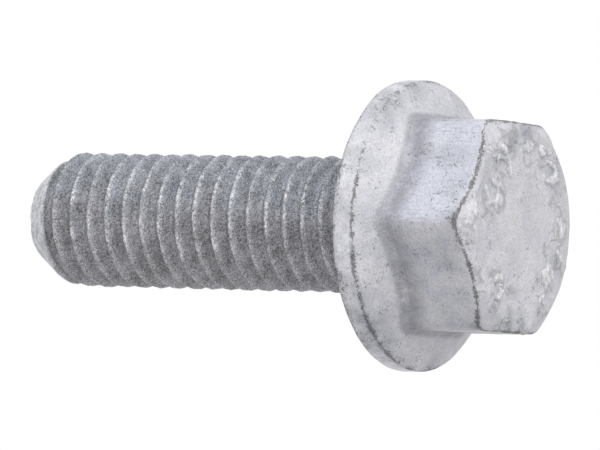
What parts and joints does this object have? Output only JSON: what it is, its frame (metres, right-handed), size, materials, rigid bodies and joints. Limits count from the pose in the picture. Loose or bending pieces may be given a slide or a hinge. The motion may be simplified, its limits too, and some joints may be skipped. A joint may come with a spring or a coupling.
{
  "type": "hexagon flange bolt",
  "caption": "Hot-dip galvanised hexagon flange bolt with a coarse right-hand thread up to its washer-like flange, standing on its head.",
  "frame": {"origin": "centre of the head's flat end face, on the bolt's axis", "axes": "+Z along the axis from the head to the tip of the thread, -Y through a corner of the hexagon"},
  "size_m": [0.0208, 0.0206, 0.0394],
  "materials": {
    "zinc_coated_steel": "matt hot-dip zinc coat"
  },
  "bodies": {
    "root": {"flange_bolt": "zinc_coated_steel"}
  },
  "joints": []
}
